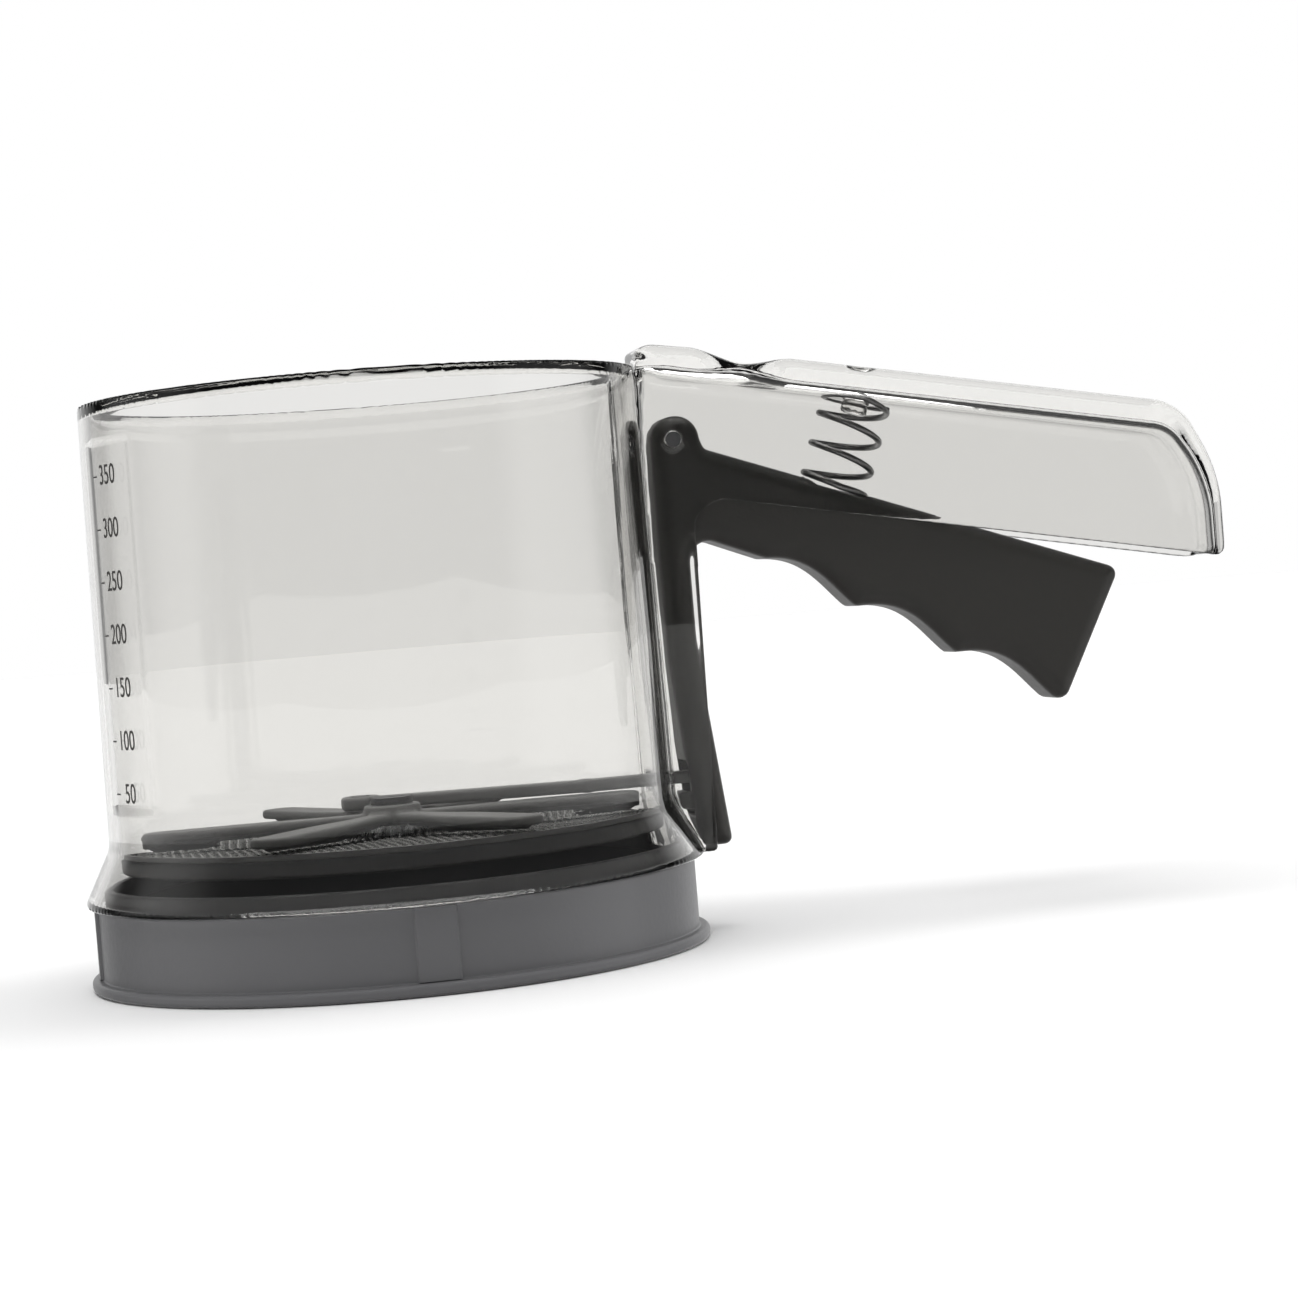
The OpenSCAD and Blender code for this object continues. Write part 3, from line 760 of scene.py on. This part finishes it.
def build_spring():
    """Round wire coiled between the trigger and the handle's roof, with closed end coils."""
    open_len = SPRING_LEN - 1.9
    curve = bpy.data.curves.new("spring_wire", "CURVE")
    curve.dimensions = "3D"
    curve.bevel_depth = SPRING_WIRE * MM
    curve.bevel_resolution = 3
    curve.use_fill_caps = True
    spline = curve.splines.new("POLY")
    total = int((COILS + 2 * END_COIL) * SPRING_STEPS)
    spline.points.add(total)
    side = SPRING_DIR.cross(Vector((0, 1, 0)))
    for i in range(total + 1):
        turn = i / SPRING_STEPS
        rise = open_len * min(max((turn - END_COIL) / COILS, 0), 1)
        a = math.tau * turn
        around = math.cos(a) * side + math.sin(a) * Vector((0, 1, 0))
        p = SEAT + SPRING_DIR * (rise - 0.1) + SPRING_R * around
        spline.points[i].co = (*(p * MM), 1)
    mesh = mesh_of(curve, "spring_temp")
    mesh.name = "spring"
    mesh.shade_smooth()
    obj = place(link("spring", mesh), "cup", ["return_spring"])
    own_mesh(obj)
    return obj


# ---- Materials ----------------------------------------------------------------------------------

def principled(name, **values):
    """A new material and its Principled node, with the named inputs set."""
    mat = bpy.data.materials.new(name)
    mat.use_nodes = True
    shader = mat.node_tree.nodes["Principled BSDF"]
    for key, value in values.items():
        shader.inputs[key.replace("_", " ")].default_value = value
    return mat, shader


def grain(mat, shader, scale, strength, distance, rough_low=None, rough_high=None):
    """Fine moulded grain: noise drives a bump and, if asked, the roughness."""
    nodes, links = mat.node_tree.nodes, mat.node_tree.links
    where = nodes.new("ShaderNodeTexCoord")
    noise = nodes.new("ShaderNodeTexNoise")
    noise.inputs["Scale"].default_value = scale
    noise.inputs["Detail"].default_value = 4
    links.new(where.outputs["Object"], noise.inputs["Vector"])
    bump = nodes.new("ShaderNodeBump")
    bump.inputs["Strength"].default_value = strength
    bump.inputs["Distance"].default_value = distance
    links.new(noise.outputs["Fac"], bump.inputs["Height"])
    links.new(bump.outputs["Normal"], shader.inputs["Normal"])
    if rough_low is not None:
        spread = nodes.new("ShaderNodeMapRange")
        spread.inputs["To Min"].default_value = rough_low
        spread.inputs["To Max"].default_value = rough_high
        links.new(noise.outputs["Fac"], spread.inputs["Value"])
        links.new(spread.outputs["Result"], shader.inputs["Roughness"])


def clear_plastic():
    mat, shader = principled("clear_plastic", Base_Color=(0.87, 0.865, 0.85, 1), Roughness=0.0, IOR=1.5)
    shader.inputs["Transmission Weight"].default_value = 1.0
    nodes, links = mat.node_tree.nodes, mat.node_tree.links
    smoke = nodes.new("ShaderNodeVolumeAbsorption")
    smoke.inputs["Color"].default_value = (0.25, 0.22, 0.10, 1)
    smoke.inputs["Density"].default_value = 4
    links.new(smoke.outputs["Volume"], nodes["Material Output"].inputs["Volume"])
    return mat


def grained_plastic(name, colour, rough):
    mat, shader = principled(name, Base_Color=(*colour, 1), Roughness=rough)
    grain(mat, shader, 900, 0.15, 0.0003, rough - 0.06, rough + 0.08)
    return mat


def steel(name, colour, rough):
    mat, shader = principled(name, Base_Color=(*colour, 1), Roughness=rough, Metallic=1.0)
    grain(mat, shader, 1500, 0.1, 0.0002, rough - 0.05, rough + 0.1)
    return mat


# ---- Studio -------------------------------------------------------------------------------------

def build_stage():
    bpy.ops.mesh.primitive_plane_add(size=8, location=(0, 0, cover_low.z * MM - 0.0002))
    floor = bpy.context.object
    floor.name = "floor"
    mat, shader = principled("floor_paper", Base_Color=(0.9, 0.9, 0.9, 1), Roughness=0.9)
    floor.data.materials.append(mat)
    floor.visible_glossy = False


def build_world():
    """White backdrop straight behind the object as the camera sees it, and a soft ring of light beside it."""
    world = bpy.data.worlds.new("studio")
    bpy.context.scene.world = world
    world.use_nodes = True
    nodes, links = world.node_tree.nodes, world.node_tree.links
    where = nodes.new("ShaderNodeTexCoord")
    turn = nodes.new("ShaderNodeVectorTransform")
    turn.vector_type = "VECTOR"
    turn.convert_from, turn.convert_to = "WORLD", "CAMERA"
    split = nodes.new("ShaderNodeSeparateXYZ")
    ahead = nodes.new("ShaderNodeMapRange")
    ahead.inputs["From Min"].default_value = -1
    ramp = nodes.new("ShaderNodeValToRGB")
    links.new(where.outputs["Generated"], turn.inputs["Vector"])
    links.new(turn.outputs["Vector"], split.inputs["Vector"])
    links.new(split.outputs["Z"], ahead.inputs["Value"])
    links.new(ahead.outputs["Result"], ramp.inputs["Fac"])
    # 0 is behind the camera, 0.5 is beside the object and 1 is straight ahead
    set_tones(ramp, ((0.0, 0.06), (0.4, 0.08), (0.64, 0.08), (0.8, 0.03), (0.95, 1.0)))
    side = nodes.new("ShaderNodeMath")
    side.operation = "ABSOLUTE"
    strips = nodes.new("ShaderNodeValToRGB")
    set_tones(strips, ((0.85, 0.0), (0.95, 0.4)))
    both = nodes.new("ShaderNodeMix")
    both.data_type, both.blend_type = "RGBA", "ADD"
    both.inputs["Factor"].default_value = 1
    links.new(split.outputs["X"], side.inputs[0])
    links.new(side.outputs["Value"], strips.inputs["Fac"])
    links.new(ramp.outputs["Color"], both.inputs["A"])
    links.new(strips.outputs["Color"], both.inputs["B"])
    links.new(both.outputs["Result"], nodes["Background"].inputs["Color"])


def set_tones(ramp, tones):
    """Gives a colour ramp its grey tones from (position, tone) pairs."""
    stops = ramp.color_ramp.elements
    while len(stops) < len(tones):
        stops.new(0.5)
    for stop, (position, tone) in zip(stops, tones):
        stop.position = position
        stop.color = (tone, tone, tone, 1)


def soft_sun(name, direction, strength, spread):
    """Even light from a direction, spread over an angle in degrees, so that shadows are soft."""
    light = bpy.data.lights.new(name, "SUN")
    light.energy = strength
    light.angle = math.radians(spread)
    obj = bpy.data.objects.new(name, light)
    obj.rotation_euler = Vector(direction).to_track_quat("-Z", "Y").to_euler()
    obj.visible_glossy = False
    bpy.context.scene.collection.objects.link(obj)
    return obj


def build_camera():
    """Camera at the height of the cup's middle, turned a little past the cup and rolled."""
    aim = Vector((0.0537, 0, 0.0564))
    azimuth, elevation, roll = (math.radians(a) for a in (-11.1, 1.28, -4.68))
    back = Vector((math.sin(azimuth) * math.cos(elevation), -math.cos(azimuth) * math.cos(elevation),
                   math.sin(elevation)))
    right = (-back).cross(Vector((0, 0, 1))).normalized()
    up = right.cross(-back)
    axis_x = right * math.cos(roll) + up * math.sin(roll)
    axis_y = up * math.cos(roll) - right * math.sin(roll)
    camera = bpy.data.objects.new("camera", bpy.data.cameras.new("camera"))
    camera.data.lens = 83.6
    camera.matrix_world = Matrix.Translation(aim + back * 0.6) @ Matrix((axis_x, axis_y, back)).transposed().to_4x4()
    bpy.context.scene.collection.objects.link(camera)
    bpy.context.scene.camera = camera


# ---- Put it together ----------------------------------------------------------------------------

clear = clear_plastic()
dark = grained_plastic("dark_plastic", (0.042, 0.040, 0.037), 0.42)
grey = grained_plastic("grey_plastic", (0.17, 0.17, 0.165), 0.45)
cover_grey = grained_plastic("cover_plastic", (0.14, 0.14, 0.145), 0.4)
black = grained_plastic("frame_plastic", (0.07, 0.07, 0.072), 0.45)
wire_steel = steel("wire_steel", (0.85, 0.85, 0.84), 0.25)
spring_steel = steel("spring_steel", (0.2, 0.2, 0.2), 0.35)
rim_grey = grained_plastic("rim_steel", (0.11, 0.11, 0.11), 0.35)
bright_steel = steel("bright_steel", (0.6, 0.61, 0.62), 0.25)

build_shell().data.materials.append(clear)
build_lever().data.materials.append(dark)
build_wiper()
for piece in ("wiper", "connecting_rod"):
    bpy.data.objects[piece].data.materials.append(grey)
woven_wires().data.materials.append(wire_steel)
build_cover().data.materials.append(cover_grey)
build_spring().data.materials.append(spring_steel)
build_scale().data.materials.append(dark)
build_frame().data.materials.append(black)
for node, mat in (("mesh_rim", rim_grey), ("lever_pin", black), ("agitator_axle", black),
                  ("axle_washer", bright_steel), ("axle_nut", bright_steel)):
    mesh = frame["nodes"][node].data
    mesh.materials.clear()
    mesh.materials.append(mat)

build_stage()
build_world()
soft_sun("overhead", (0.05, 0.0, -1), 2.7, 60)
soft_sun("front", (0.2, 1, -0.3), 0.45, 60).visible_transmission = False
soft_sun("left_side", (1, 0.2, -0.1), 1.0, 60).visible_transmission = False
soft_sun("right_side", (-1, -0.2, -0.1), 3.2, 60).visible_transmission = False
build_camera()
scene = bpy.context.scene
scene.view_settings.view_transform = "Standard"
scene.cycles.use_denoising = True
scene.cycles.max_bounces = 24
scene.cycles.transmission_bounces = 20
scene.cycles.transparent_max_bounces = 20
